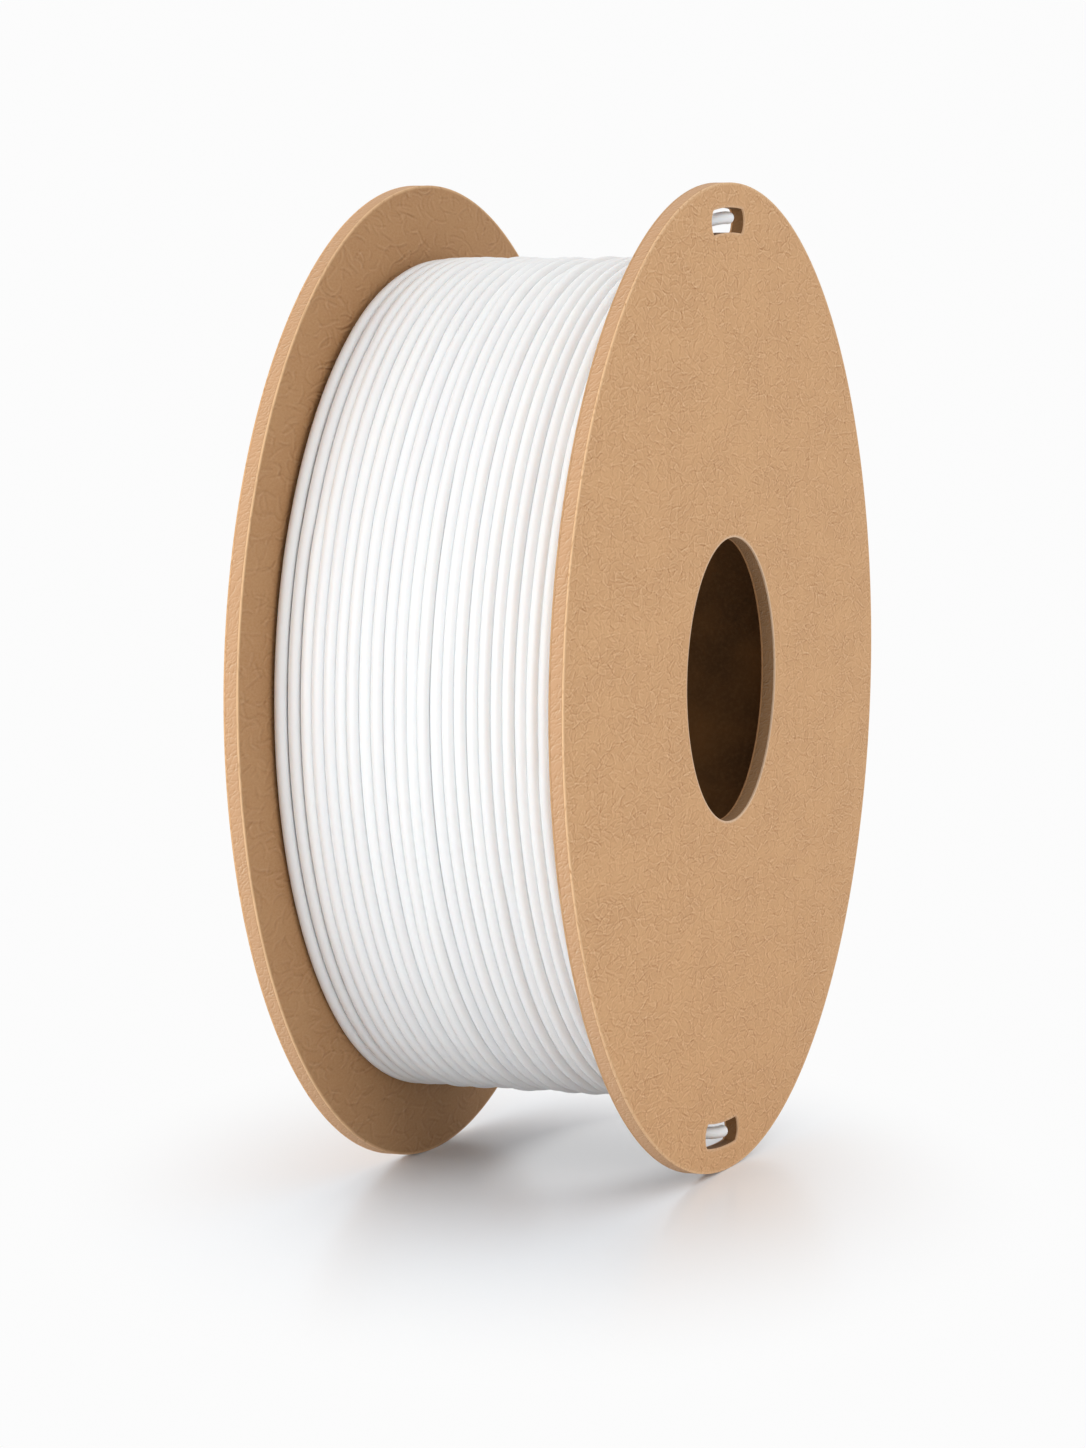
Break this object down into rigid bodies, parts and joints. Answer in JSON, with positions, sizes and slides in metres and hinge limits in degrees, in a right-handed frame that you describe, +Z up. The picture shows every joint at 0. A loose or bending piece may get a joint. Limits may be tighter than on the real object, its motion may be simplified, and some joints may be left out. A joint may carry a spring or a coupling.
{
  "type": "filament spool",
  "caption": "Kraft board spool wound with white filament: two faced flanges on a paper tube, with a round bore and rim slots that hold the filament's ends.",
  "frame": {"origin": "on the spool's axis, midway between the outer faces of the two flanges", "axes": "+Y along the axis, out of the slotted flange; +Z up through the upper slot; the spool stands on its two rims at z = -0.1"},
  "size_m": [0.2, 0.068, 0.2],
  "materials": {
    "kraft_facing": "uncoated kraft paper, matt",
    "kraft_board": "die-cut board edge, matt",
    "tube_board": "spirally wound board, matt",
    "tube_ply": "kraft paper ply, matt",
    "hot_melt_glue": "set hot-melt glue, soft gloss",
    "filament": "extruded plastic strand, soft gloss"
  },
  "bodies": {
    "root": {"slotted_flange_board": "kraft_board", "slotted_flange_outer_facing": "kraft_facing", "slotted_flange_inner_facing": "kraft_facing", "plain_flange_board": "kraft_board", "plain_flange_outer_facing": "kraft_facing", "plain_flange_inner_facing": "kraft_facing", "core_tube_body": "tube_board", "core_tube_outer_ply": "tube_ply", "core_tube_inner_ply": "tube_ply", "slotted_flange_glue_bead": "hot_melt_glue", "plain_flange_glue_bead": "hot_melt_glue", "filament_inner_layers": "filament", "filament_outer_layer": "filament", "filament_start_end": "filament"}
  },
  "joints": []
}
